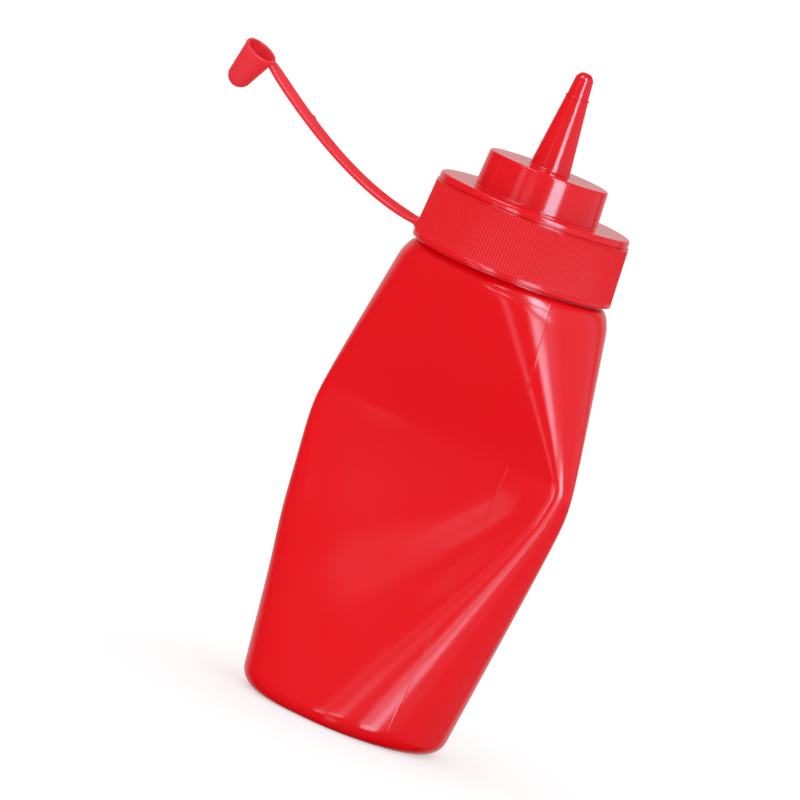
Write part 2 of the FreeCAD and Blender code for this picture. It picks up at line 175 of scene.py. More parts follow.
class Finishes(bpy.types.PropertyGroup):
    """Colours and gloss of the moulded plastic."""
    bottle_colour: colour("Bottle", 0.81, 0.001, 0.007, "Colour of the soft bottle")
    bottle_deep: colour("Bottle, deep", 0.78, 0.0005, 0.005, "Colour where the bottle's wall is thicker")
    bottle_roughness: share("Bottle roughness", 0.205, "Roughness of the bottle")
    cap_colour: colour("Cap", 0.80, 0.010, 0.016, "Colour of the screw cap")
    cap_deep: colour("Cap, deep", 0.76, 0.005, 0.010, "Colour of the thicker parts of the cap")
    cap_roughness: share("Cap roughness", 0.15, "Roughness of the screw cap")
    rib_roughness: share("Rib roughness", 0.42, "Roughness of the screw cap's ribs")
    strap_colour: colour("Strap", 0.82, 0.026, 0.043, "Colour of the strap and the tip cap")
    strap_deep: colour("Strap, deep", 0.79, 0.016, 0.029, "Colour of the strap where it is thicker")
    strap_roughness: share("Strap roughness", 0.4, "Roughness of the strap and the tip cap")


class Studio(bpy.types.PropertyGroup):
    """The floor, the light and the camera."""
    camera_back: length("Camera distance", 2200, "Distance of the camera in front of the axis")
    camera_height: length("Camera height", 340, "Height of the camera above the floor")
    camera_aim: point("Camera aim", -15.65, 0, 88.35, "The point that the camera looks at")
    camera_roll: angle("Camera roll", 20.96, "How far the camera is turned about its own line of sight")
    camera_lens: FloatProperty(name="Lens", description="Focal length in millimetres", default=365.3,
                               unit="CAMERA")
    fill: FloatProperty(name="Fill light", description="Strength of the even light from all round",
                        default=1.11)
    floor_colour: colour("Floor", 0.9, 0.9, 0.9, "Colour of the floor")


# ---------------------------------------------------------------- meshes

ROUNDING_LIMIT = 0.45                       # most of an edge that the rounding of its corner takes up
FLAT_HOLD = 1.35                            # where a point holds the flat beside a rounding, in its reach


def ring_faces(first, count, second, other):
    """Faces between two closed rings, given by their first vertex and their number of points."""
    faces = []
    if count == other:
        for j in range(count):
            k = (j + 1) % count
            faces.append((first + j, first + k, second + k, second + j))
        return faces
    if count < other:
        return [face[::-1] for face in ring_faces(second, other, first, count)]
    fan = count // other
    for j in range(other):
        low = fan * j - fan // 2
        for step in range(fan):
            outer = (low + step) % count
            faces.append((first + outer, first + (outer + 1) % count, second + j))
        last = (low + fan) % count
        faces.append((first + last, second + (j + 1) % other, second + j))
    return faces


def shell(name, rings):
    """A closed, smooth mesh through closed rings of points, with both ends filled to their middle."""
    rings = [np.asarray(ring, float) for ring in rings]
    points = np.concatenate(rings)
    faces = []
    start = 0
    for ring, following in zip(rings, rings[1:]):
        faces += ring_faces(start, len(ring), start + len(ring), len(following))
        start += len(ring)
    foot_middle = len(points)
    faces += [((j + 1) % len(rings[0]), j, foot_middle) for j in range(len(rings[0]))]
    faces += [(start + j, start + (j + 1) % len(rings[-1]), foot_middle + 1) for j in range(len(rings[-1]))]
    points = np.concatenate([points, [rings[0].mean(0), rings[-1].mean(0)]])
    mesh = bpy.data.meshes.new(name)
    mesh.from_pydata(points.tolist(), [], faces)
    mesh.validate()
    mesh.shade_smooth()
    made = bpy.data.objects.new(name, mesh)
    bpy.context.scene.collection.objects.link(made)
    return made


def rounded(corners, steps=4):
    """A profile of (radius, height) points from corners of (radius, height, rounding)."""
    points = []
    for i, (radius, height, rounding) in enumerate(corners):
        here = np.array((radius, height))
        if rounding == 0 or i in (0, len(corners) - 1):
            points.append(here)
            continue
        back = np.array(corners[i - 1][:2]) - here
        ahead = np.array(corners[i + 1][:2]) - here
        back_length = np.linalg.norm(back)
        ahead_length = np.linalg.norm(ahead)
        back /= back_length
        ahead /= ahead_length
        half_turn = (math.pi - math.acos(float(np.clip(back @ ahead, -1, 1)))) / 2
        reach = min(rounding * math.tan(half_turn), ROUNDING_LIMIT * back_length,
                    ROUNDING_LIMIT * ahead_length)
        points.append(here + back * reach * FLAT_HOLD)
        for step in range(steps + 1):
            t = step / steps
            points.append(here + back * reach * (1 - t) ** 2 + ahead * reach * t ** 2)
        points.append(here + ahead * reach * FLAT_HOLD)
    return np.array(points)


def turned(profile, columns):
    """Rings of points: a profile of (radius, height) turned about the Z axis."""
    around = np.arange(columns) * (2 * math.pi / columns)
    return [np.stack([radius * np.cos(around), radius * np.sin(around), np.full(columns, height)], 1)
            for radius, height in profile]


# ---------------------------------------------------------------- bottle

RIGHT, BACK, LEFT = range(3)                # order of the circles that a section is wrapped round
TURNING_SHARE = 0.45                        # how strongly columns gather where the wall turns
ARC_STEPS = 80                              # steps along each arc when a section's length is measured
COLUMNS = (104, 52, 78, 58)                 # columns between left ridge, seam, right ridge, seam
SEAM_OFFSETS = np.array((-0.42, -0.24, -0.12, 0.0, 0.12, 0.24, 0.42)) * MM
SEAM_AT_SHOULDER = 13.2 * MM                # how far right of the axis the front seam starts
SEAM_SHIFT_AT_FOLD = 4.8 * MM               # how much further right the fold pushes it
SEAM_FADE = 0.2                             # share of the base's corner where the seams have run out
CORNER_LEVELS = 8                           # rings round the base's corner and the shoulder's
COARSE_STEP = 0.75 * MM                     # height between rings far from the fold
FINE_STEP = 0.32 * MM                       # height between rings at the fold
FINE_REACH = 14 * MM                        # how far from the fold the rings are closer together
STEP_GROWTH = 1.5                           # power by which their distance grows over that reach
# The soft crease below the fold, in millimetres: (x, height, half width, share of its depth).
CREASE = np.array(((28.0, 78.5, 3.0, 0.0), (24.5, 73.0, 4.6, 0.5), (18.5, 64.0, 6.0, 0.9),
                   (11.0, 54.5, 7.5, 1.0), (4.0, 46.0, 9.0, 0.85), (-3.0, 36.0, 11.0, 0.5),
                   (-9.0, 26.0, 13.0, 0.0)))
CREASE_STEPS = 90                           # places along the crease that a point is tried against
PILLOW_PLACE = (-20.5, 49.0)                # x and height of the soft bulge, in millimetres
PILLOW_REACH = 15.0                         # how far it reaches, in millimetres
FRONT_FADE = 4                              # how quickly crease and bulge end where the wall turns away
PUSH_UP = 1.6 * MM                          # how far the base's middle is pushed up
# The base from its middle out: (share of the way to its edge, share of the push-up).
BASE_PROFILE = ((0.06, 1), (0.3, 1), (0.6, 1), (0.78, 1), (0.84, 0.93), (0.875, 0.72), (0.90, 0.4),
                (0.925, 0.12), (0.95, 0.0), (0.985, 0.0))
# The shoulder's top from its edge in: (share of the way to the neck, millimetres above the edge).
NECK_PROFILE = ((0.15, 0.0), (0.8, 0.0), (0.92, 0.0), (0.965, 0.05), (0.99, 0.18), (1, 0.42), (1, 0.7))
NECK_REACH = 0.95 * MM                      # how far the neck reaches up into the cap's recess
NECK_EDGE = 0.2 * MM                        # height of the edge that is turned in at its top
NECK_EDGE_SHARE = 0.98                      # radius at the end of that edge, in neck radii


def spread(way, measure, low, high, count, skipped):
    """Places of columns from low to high along a section, closer together where the wall turns."""
    first, last = np.interp((low, high), way, measure)
    shares = (np.arange(count) + skipped) / (count + skipped)
    return np.interp(first + (last - first) * shares, measure, way)


class Wall:
    """The pressed wall: level sections wrapped round two ridges and a round back."""

    def __init__(self, sizes):
        self.sizes = sizes
        self.out = np.array((-math.sin(sizes.panel_turn), -math.cos(sizes.panel_turn)))
        self.along = np.array((math.cos(sizes.panel_turn), -math.sin(sizes.panel_turn)))

    def pressed_share(self, height, peak, rounding):
        """How far a size has changed at one height: 1 at the peak, 0 at the shoulder and the base."""
        reach = self.sizes.shoulder_height - peak if height > peak else peak
        run = math.hypot(height - peak, rounding) - rounding
        return 1 - run / (math.hypot(reach, rounding) - rounding)

    def between(self, height, station, peak, rounding):
        """A size at one height, from its values at the shoulder, at the peak and at the base."""
        end = station[0] if height > peak else station[2]
        return end + (station[1] - end) * self.pressed_share(height, peak, rounding)

    def pressed(self, height, station):
        """A size of the panel or of the back at one height."""
        return self.between(height, station, self.sizes.fold_height, self.sizes.wall_rounding)

    def circles(self, height):
        """The circles (x, y, radius) that a section is wrapped round: right ridge, back and left ridge."""
        sizes = self.sizes
        half_width = self.between(height, sizes.half_width, sizes.widest_height, sizes.wall_rounding)
        panel = self.pressed(height, sizes.panel)
        found = []
        for side, ridge in ((1, sizes.right_ridge), (-1, sizes.left_ridge)):
            radius = self.between(height, ridge, sizes.fold_height, sizes.fold_rounding)
            x = side * (half_width - radius)
            y = (panel - radius - x * self.out[0]) / self.out[1]
            found.append((x, y, radius))
        radius = self.pressed(height, sizes.back_radius)
        middle = -self.out * (self.pressed(height, sizes.back_reach) - radius)
        found.insert(BACK, (middle[0], middle[1], radius))
        return found

    def track(self, height, inset):
        """Close points round a section from the middle of the left ridge, and the way each faces."""
        circles = [(x, y, radius - inset) for x, y, radius in self.circles(height)]
        # The section leaves each circle where the outer tangent to the next one touches it.
        leave = []
        for i in range(3):
            x, y, radius = circles[i]
            next_x, next_y, next_radius = circles[(i + 1) % 3]
            distance = math.hypot(next_x - x, next_y - y)
            leave.append(math.atan2(next_y - y, next_x - x) - math.acos((radius - next_radius) / distance))
        spans = []
        for i in range(3):
            end = leave[i]
            while end < leave[i - 1]:
                end += 2 * math.pi
            spans.append((leave[i - 1], end))
        middles = [(low + high) / 2 for low, high in spans]
        parts = [(LEFT, middles[LEFT], spans[LEFT][1]), (RIGHT, spans[RIGHT][0], middles[RIGHT]),
                 (RIGHT, middles[RIGHT], spans[RIGHT][1]), (BACK, *spans[BACK]),
                 (LEFT, spans[LEFT][0], middles[LEFT])]
        points = []
        facing = []
        for index, low, high in parts:
            x, y, radius = circles[index]
            angles = np.linspace(low, high, ARC_STEPS + 1)
            points.append(np.stack([x + radius * np.cos(angles), y + radius * np.sin(angles)], 1))
            facing.append(angles)
        right_middle = 2 * (ARC_STEPS + 1) - 1      # the second part ends in the middle of the right ridge
        return np.concatenate(points), np.concatenate(facing), right_middle

    def section(self, height, inset):
        """Columns of points round a section, and how far each lies from the nearer seam."""
        points, facing, right_middle = self.track(height, inset)
        strides = np.linalg.norm(np.diff(points, axis=0), axis=1)
        turns = np.remainder(np.diff(facing) + math.pi, 2 * math.pi) - math.pi
        way = np.concatenate([[0], np.cumsum(strides)])
        total = way[-1]
        # Columns are even along a measure that runs to 2: the length gone round, mixed with the turning.
        steps = (1 - TURNING_SHARE) * strides / total * 2 + TURNING_SHARE * turns / math.pi
        measure = np.concatenate([[0], np.cumsum(steps)])
        shift = self.pressed_share(height, self.sizes.fold_height, self.sizes.wall_rounding)
        seam_x = SEAM_AT_SHOULDER + SEAM_SHIFT_AT_FOLD * shift
        front_seam = np.interp(seam_x, points[:right_middle, 0], way[:right_middle])
        back_seam = front_seam + total / 2
        edge = SEAM_OFFSETS[-1]
        right = way[right_middle]
        at = np.concatenate([spread(way, measure, 0, front_seam - edge, COLUMNS[0], 0),
                             front_seam + SEAM_OFFSETS,
                             spread(way, measure, front_seam + edge, right, COLUMNS[1], 1),
                             spread(way, measure, right, back_seam - edge, COLUMNS[2], 0),
                             back_seam + SEAM_OFFSETS,
                             spread(way, measure, back_seam + edge, total, COLUMNS[3], 1)])
        from_seam = np.minimum(abs(at - front_seam), abs(at - back_seam))
        placed = np.stack([np.interp(at, way, points[:, axis]) for axis in (0, 1)], 1)
        return placed, from_seam

    def dished(self, placed, height):
        """Points of the panel moved in by the depth of the thumb's dish there."""
        sizes = self.sizes
        across = (placed @ self.along - sizes.dish_place) / sizes.dish_reach
        upward = (height - sizes.fold_height) / sizes.dish_rise
        front = 1 - (self.pressed(height, sizes.panel) - placed @ self.out) / sizes.right_ridge[1]
        depth = sizes.dish_depth * np.exp(-across ** 2 - upward ** 2) * np.clip(front, 0, 1)
        return placed - depth[:, None] * self.out

    def levels(self):
        """Each ring's section height, inset and own level, from the base's edge to the shoulder's."""
        sizes = self.sizes
        found = []
        for step in range(CORNER_LEVELS):
            turn = math.pi / 2 * step / CORNER_LEVELS
            level = sizes.base_corner * (1 - math.cos(turn))
            found.append((level, sizes.base_corner * (1 - math.sin(turn)), level))
        level = sizes.base_corner
        round_from = sizes.shoulder_height - sizes.shoulder_drop
        while level < round_from - FINE_STEP:
            found.append((level, 0, level))
            away = min(1, abs(level - sizes.fold_height) / FINE_REACH)
            level += FINE_STEP + (COARSE_STEP - FINE_STEP) * away ** STEP_GROWTH
        for step in range(CORNER_LEVELS + 1):
            turn = math.pi / 2 * step / CORNER_LEVELS
            level = round_from + (sizes.shoulder_drop + sizes.shoulder_corner) * math.sin(turn)
            inset = sizes.shoulder_inset * (1 - math.cos(turn))
            # The rounding goes on above the wall, with the section of the wall's top.
            found.append((min(level, sizes.shoulder_height), inset, level))
        return found


def crease_share(rings):
    """How deep the soft crease lies at each point of the front, from 0 to 1."""
    nearest = np.full(rings.shape[:2], np.inf)
    depth = np.zeros(rings.shape[:2])
    steps = np.linspace(0, len(CREASE) - 1, CREASE_STEPS)
    along = np.stack([np.interp(steps, np.arange(len(CREASE)), column) for column in CREASE.T], 1)
    for x, height, half_width, strength in along:
        away = ((rings[..., 0] / MM - x) ** 2 + (rings[..., 2] / MM - height) ** 2) / half_width ** 2
        closer = away < nearest
        nearest = np.where(closer, away, nearest)
        depth = np.where(closer, strength * np.exp(-away), depth)
    return depth


def at_height(flat, level):
    """Flat points laid at one level."""
    return np.column_stack([flat, np.broadcast_to(level, len(flat))])


def relief(rings, outward, from_seams, sizes):
    """How far each point of the wall stands out: seams and pillow, less the crease."""
    seams = sizes.seam_height * np.exp(-(from_seams / sizes.seam_width) ** 2)
    seams *= np.clip(rings[..., 2] / sizes.base_corner - SEAM_FADE, 0, 1)
    facing_front = np.clip(-outward[..., 1] * FRONT_FADE, 0, 1)
    sunk = sizes.crease_depth * crease_share(rings)
    from_pillow = np.hypot(rings[..., 0] / MM - PILLOW_PLACE[0], rings[..., 2] / MM - PILLOW_PLACE[1])
    raised = sizes.pillow_height * np.exp(-(from_pillow / PILLOW_REACH) ** 2)
    return seams + (raised - sunk) * facing_front


def base_rings(edge):
    """Rings of the base from its middle to the foot of the wall."""
    middle = edge.mean(0)
    return [at_height(middle + (edge - middle) * out, PUSH_UP * rise) for out, rise in BASE_PROFILE]


def neck_rings(edge, level, radius):
    """Rings from the shoulder's edge in to the neck and up into the cap's recess."""
    azimuth = np.arctan2(edge[:, 1], edge[:, 0])
    neck = np.stack([np.cos(azimuth), np.sin(azimuth)], 1) * radius
    rings = [at_height(edge + (neck - edge) * inward, level + rise * MM) for inward, rise in NECK_PROFILE]
    rings.append(at_height(neck, CAP_FOOT + NECK_REACH))
    rings.append(at_height(neck * NECK_EDGE_SHARE, CAP_FOOT + NECK_REACH + NECK_EDGE))
    return rings


def bottle_rings(sizes):
    """Every ring of the bottle from the middle of its base to the top of its neck."""
    wall = Wall(sizes)
    rings = []
    from_seams = []
    for height, inset, level in wall.levels():
        placed, from_seam = wall.section(height, inset)
        rings.append(at_height(wall.dished(placed, height), level))
        from_seams.append(from_seam)
    rings = np.array(rings)
    around = np.roll(rings, -1, 1) - np.roll(rings, 1, 1)
    upward = np.gradient(rings, axis=0)
    outward = np.cross(around, upward)
    outward /= np.linalg.norm(outward, axis=2, keepdims=True)
    rings += relief(rings, outward, np.array(from_seams), sizes)[..., None] * outward
    neck = neck_rings(rings[-1][:, :2], rings[-1][0, 2], sizes.neck_radius)
    return base_rings(rings[0][:, :2]) + list(rings) + neck


# ---------------------------------------------------------------- screw cap

COLUMNS_PER_RIB = 6                         # columns from one rib to the next
RIB_ROUNDNESS = 0.85                        # how much of a half circle each rib's crest takes up
RIBS_FROM = 1.3 * MM                        # height at which the ribs start, above the cap's lower edge
RIBS_TO = 16.5 * MM                         # height at which they end
RIB_RAMP = 0.4 * MM                         # height over which the grooves reach their depth
RIB_RAMP_STEPS = 4                          # rings over that height
RIB_SINK = 0.06 * MM                        # how far the ribs' crests lie below the smooth bands
SMOOTH_COLUMNS = 120                        # columns where the cap has no ribs
THIN_OUT_FROM = 2.2 * MM                    # how far inside its edge a flat face has all the ribs' columns
THIN_OUT_TO = 3.2 * MM                      # how far inside it the face has only the smooth columns
RECESS = 1.2 * MM                           # depth of the recess below the cap
RECESS_RADIUS = 26.7 * MM                   # radius of the recess at its ceiling
RECESS_MOUTH = 26.9 * MM                    # radius of the recess at the cap's lower edge
CEILING_RING = 6 * MM                       # radius of the ring that fills the ceiling's middle
FOOT_BAND = 1.05 * MM                       # height of the smooth band below the ribs
FOOT_DRAFT = 0.02 * MM                      # how much narrower that band is at its top
FOOT_STEP = 0.15 * MM                       # height over which the wall steps in above it
FOOT_STEP_IN = 0.12 * MM                    # how far it steps in
TOP_STEP_IN = 0.03 * MM                     # how far in the smooth band above the ribs starts
LIP_GROOVE = 27.05 * MM                     # radius of the groove between the skirt and the lip
LIP_GROOVE_HEIGHT = 0.3 * MM
RING_RADIUS = 3.45 * MM                     # radius of the nozzle's parting ring
RING_DRAFT = 0.03 * MM                      # how much narrower the ring is at its top
RING_THICKNESS = 0.4 * MM
BELOW_RING = 3.2 * MM                       # radius of the nozzle just below the ring
ABOVE_RING = 3.05 * MM                      # radius of the nozzle just above the ring
DOME_STEPS = 12                             # rings round the nozzle's tip
BORE_EDGE = 0.1 * MM                        # how much the spout's bore narrows inside its edge
BORE_ROUNDING = ((0.04, 0.05), (0.0, 0.2))  # its rounded edge, in millimetres: (beyond the bore, depth)
BORE_DEPTH = 5 * MM                         # how deep the bore is seen to go


def skirt_rings(sizes):
    """Rings of the skirt and the lip from inside the recess to the cap's top face."""
    def taper(height):
        return SKIRT_RADIUS + (sizes.skirt_top_radius - SKIRT_RADIUS) * height / sizes.skirt_height

    columns = sizes.ribs * COLUMNS_PER_RIB
    ribs_foot = FOOT_BAND + FOOT_STEP
    groove_top = sizes.skirt_height + LIP_GROOVE_HEIGHT
    low = [(RECESS_RADIUS - THIN_OUT_FROM, RECESS, 0), (RECESS_RADIUS, RECESS, 0.3 * MM),
           (RECESS_MOUTH, 0, 0.2 * MM), (SKIRT_RADIUS, 0, 0.35 * MM),
           (SKIRT_RADIUS - FOOT_DRAFT, FOOT_BAND, 0.12 * MM),
           (taper(ribs_foot) - FOOT_STEP_IN, ribs_foot, 0)]
    high = [(taper(RIBS_TO) - TOP_STEP_IN, RIBS_TO, 0),
            (sizes.skirt_top_radius, sizes.skirt_height, 0.6 * MM),
            (LIP_GROOVE, sizes.skirt_height, 0.1 * MM), (LIP_GROOVE, groove_top, 0.1 * MM),
            (sizes.lip_radius, groove_top, 0.15 * MM), (sizes.lip_radius, sizes.cap_height, 1.0 * MM),
            (sizes.lip_radius - THIN_OUT_FROM, sizes.cap_height, 0)]
    ramp = RIB_RAMP * np.linspace(0, 1, RIB_RAMP_STEPS)
    half_way = (RIBS_FROM + RIBS_TO) / 2
    profile = [(radius, height, 0) for radius, height in rounded(low)]
    for height in (*(RIBS_FROM + ramp), half_way, *(RIBS_TO - ramp[::-1])):
        nearest = min(height - RIBS_FROM, RIBS_TO - height)
        grooved = 0.5 - 0.5 * math.cos(math.pi * min(1, nearest / RIB_RAMP))
        profile.append((taper(height) - RIB_SINK, height, grooved))
    profile += [(radius, height, 0) for radius, height in rounded(high)]
    around = np.arange(columns) * (2 * math.pi / columns)
    from_crest = np.abs(np.remainder(np.arange(columns) / COLUMNS_PER_RIB, 1) - 0.5) * 2
    groove = (1 - np.sqrt(1 - (RIB_ROUNDNESS * from_crest) ** 2)) / (1 - math.sqrt(1 - RIB_ROUNDNESS ** 2))
    rings = []
    for radius, height, grooved in profile:
        reach = radius - sizes.rib_depth * grooved * groove
        flat = np.stack([reach * np.cos(around), reach * np.sin(around)], 1)
        rings.append(at_height(flat, height))
    return rings


def cap_rings(sizes):
    """Every ring of the screw cap from the middle of its recess to the end of the spout's bore."""
    turret_top = sizes.cap_height + sizes.turret_height
    ring_foot = turret_top + sizes.ring_height
    dome_middle = NOZZLE_TOP - CAP_FOOT - math.sqrt(sizes.tip_radius ** 2 - sizes.bore_radius ** 2)
    ceiling = [(CEILING_RING, RECESS), (RECESS_RADIUS - THIN_OUT_TO, RECESS)]
    corners = [(sizes.lip_radius - THIN_OUT_TO, sizes.cap_height, 0),
               (sizes.turret_low_radius, sizes.cap_height, 0.35 * MM),
               (sizes.turret_top_radius, turret_top, 0.7 * MM),
               (sizes.nozzle_foot_radius, turret_top, 0.7 * MM),
               (BELOW_RING, ring_foot, 0.08 * MM),
               (RING_RADIUS, ring_foot, 0.12 * MM),
               (RING_RADIUS - RING_DRAFT, ring_foot + RING_THICKNESS, 0.12 * MM),
               (ABOVE_RING, ring_foot + RING_THICKNESS, 0.1 * MM),
               (sizes.tip_radius, dome_middle, 0)]
    upper = list(rounded(corners))
    lowest_turn = math.acos(sizes.bore_radius / sizes.tip_radius)
    for step in range(1, DOME_STEPS + 1):
        turn = lowest_turn * step / DOME_STEPS
        upper.append((sizes.tip_radius * math.cos(turn), dome_middle + sizes.tip_radius * math.sin(turn)))
    rim = upper[-1][1]
    bore = sizes.bore_radius - BORE_EDGE
    upper += [(bore + beyond * MM, rim - depth * MM) for beyond, depth in BORE_ROUNDING]
    upper.append((bore, rim - BORE_DEPTH))
    rings = turned(ceiling, SMOOTH_COLUMNS) + skirt_rings(sizes) + turned(upper, SMOOTH_COLUMNS)
    return [ring + (0, 0, CAP_FOOT) for ring in rings]


# ---------------------------------------------------------------- tip cap and strap

TIP_CAP_COLUMNS = 96
TIP_CAP_STEPS = 12                          # rings round the closed end, outside and inside
RIM_BAND = 0.75 * MM                        # height of the thicker band at the mouth
RIM_BAND_STEP = 0.15 * MM                   # height over which the band stands out
STRAP_RINGS = 160
STRAP_SINK = 1.0 * MM                       # how far inside the skirt the strap starts
STRAP_BITE = 0.6                            # how deep in the tip cap's wall it ends, in walls
STRAP_EDGE = 0.45 * MM                      # rounding of the strap's edges
FLARE_REACH = 2.6 * MM                      # how far from the root the pad narrows to the strap
NIB_PLACE = 0.7                             # share of the strap from its root to the mould's nib on its edge
NIB_HEIGHT = 0.5 * MM
NIB_REACH = 0.6 * MM
ROLL_EVENNESS = 8                           # even power: how near its ends the strap takes up its roll


def mouth_direction(sizes):
    """The way that the tip cap's mouth faces."""
    return Vector((math.tan(sizes.lean), -math.tan(sizes.nod), 1)).normalized()


def tip_cap_rings(sizes):
    """Rings of the hollow tip cap from its closed end, over the rim and down to the inner end."""
    low = sizes.end_radius - sizes.length
    inner_mouth = sizes.mouth_radius - sizes.wall
    inner_end = sizes.end_radius - sizes.wall
    slope = (sizes.mouth_radius - sizes.end_radius) / -low
    below_band = -RIM_BAND - RIM_BAND_STEP
    rim = rounded([(sizes.end_radius, low, 0),
                   (sizes.mouth_radius + slope * below_band, below_band, 0.15 * MM),
                   (sizes.mouth_radius, -RIM_BAND, 0.12 * MM), (sizes.mouth_radius, 0, 0.25 * MM),
                   (inner_mouth, 0, 0.2 * MM), (inner_end, low, 0)])
    turns = [math.pi / 2 * step / TIP_CAP_STEPS for step in range(1, TIP_CAP_STEPS + 1)]
    profile = [(sizes.end_radius * math.sin(turn), low - sizes.end_radius * math.cos(turn)) for turn in turns]
    profile += [tuple(corner) for corner in rim[1:]]
    profile += [(inner_end * math.sin(turn), low - inner_end * math.cos(turn)) for turn in turns[-2::-1]]
    lean = UP.rotation_difference(mouth_direction(sizes)).to_matrix()
    return [ring @ np.array(lean).T + np.array(sizes.mouth) for ring in turned(profile, TIP_CAP_COLUMNS)]


def strap_line(strap, cap, tip_cap):
    """The four points of the strap's Bezier curve."""
    outward = Vector((math.cos(strap.root_angle), -math.sin(strap.root_angle), 0))
    taper = (cap.skirt_top_radius - SKIRT_RADIUS) * strap.root_rise / cap.skirt_height
    start = outward * (SKIRT_RADIUS + taper - STRAP_SINK) + UP * (CAP_FOOT + strap.root_rise)
    away = Vector((-1, 0, 0))
    mouth_out = mouth_direction(tip_cap)
    # The way across the mouth to the side of the rim that faces the screw cap.
    inward = -away + mouth_out * away.dot(mouth_out)
    inward.normalize()
    end = Vector(tip_cap.mouth) + inward * (tip_cap.mouth_radius - tip_cap.wall * STRAP_BITE)
    end -= mouth_out * strap.end_drop
    reach = (end - start).length / 3
    leave = outward * math.cos(strap.root_slope) + UP * math.sin(strap.root_slope)
    arrive = away * math.cos(strap.end_slope) + UP * math.sin(strap.end_slope)
    return start, start + leave * reach, end - arrive * reach, end


def rounded_outline(half_width, half_thickness, rounding, steps=4):
    """Points round a rectangle with rounded corners."""
    points = []
    for corner, (side, face) in enumerate(((1, 1), (-1, 1), (-1, -1), (1, -1))):
        for step in range(steps + 1):
            turn = math.pi / 2 * (corner + step / steps)
            points.append((side * (half_width - rounding) + rounding * math.cos(turn),
                           face * (half_thickness - rounding) + rounding * math.sin(turn)))
    return np.array(points)


def on_curve(points, at):
    """The place at one share of a Bezier curve, and the way that the curve runs there."""
    start, start_push, end_push, end = points
    rest = 1 - at
    here = start * rest ** 3 + start_push * (3 * rest ** 2 * at)
    here += end_push * (3 * rest * at ** 2) + end * at ** 3
    ahead = (start_push - start) * rest ** 2 + (end_push - start_push) * (2 * rest * at)
    ahead += (end - end_push) * at ** 2
    return here, ahead.normalized()


def strap_rings(strap, cap, tip_cap):
    """Rings of the strap from inside the skirt to inside the tip cap's wall."""
    points = strap_line(strap, cap, tip_cap)
    mouth_out = mouth_direction(tip_cap)
    whole = (points[-1] - points[0]).length
    rings = []
    for number in range(STRAP_RINGS):
        at = number / (STRAP_RINGS - 1)
        # The rings lie closer together at the root, where the pad narrows.
        if at < 0.5:
            at = 0.5 - 0.5 * math.cos(math.pi * at)
        here, ahead = on_curve(points, at)
        level = UP.cross(ahead).normalized()
        rolled = mouth_out.cross(ahead).normalized()
        across = (level * (1 - at) + rolled * at).normalized()
        thick = ahead.cross(across)
        roll = strap.roll * (1 - (2 * at - 1) ** ROLL_EVENNESS)
        across, thick = (across * math.cos(roll) - thick * math.sin(roll),
                         thick * math.cos(roll) + across * math.sin(roll))
        flare = math.exp(-(at * whole / FLARE_REACH) ** 4)
        half_width = (strap.width + (strap.pad_width - strap.width) * flare) / 2
        half_thickness = (strap.thickness + (strap.pad_height - strap.thickness) * flare) / 2
        outline = rounded_outline(half_width, half_thickness, STRAP_EDGE)
        from_nib = (at - NIB_PLACE) * whole / NIB_REACH
        outline[outline[:, 0] < 0, 0] -= NIB_HEIGHT * math.exp(-from_nib ** 2)
        rings.append(np.array(here) + outline[:, :1] * np.array(across) + outline[:, 1:] * np.array(thick))
    return rings


# ---------------------------------------------------------------- materials

GRAIN_STRENGTH = 0.5                        # how strongly the moulded grain shows
GLOSS_CHANGE = 0.06                         # how much the roughness changes from cloud to cloud
PLASTIC_IOR = 1.5
LIGHT_DEPTHS = (1.0, 0.12, 0.12)            # how deep red, green and blue light reach, as shares
SOFT_DEPTH = 2.0 * MM                       # how deep red light reaches into soft plastic
MATTE_SPECULAR = 0.16                       # strength of the gloss where the plastic is matte
MATTE_MARGIN = 0.3 * MM                     # how far below the ribs' upper ends the matte band stops


def node(tree, kind, **settings):
    """Adds a node. A setting with a plain value fills an input, and one with a socket is linked to it."""
    made = tree.nodes.new(kind)
    for name, value in settings.items():
        label = name.replace("_", " ")
        if label in made.inputs and not hasattr(made, name):
            if isinstance(value, bpy.types.NodeSocket):
                tree.links.new(value, made.inputs[label])
            else:
                made.inputs[label].default_value = value
        else:
            setattr(made, name, value)
    return made


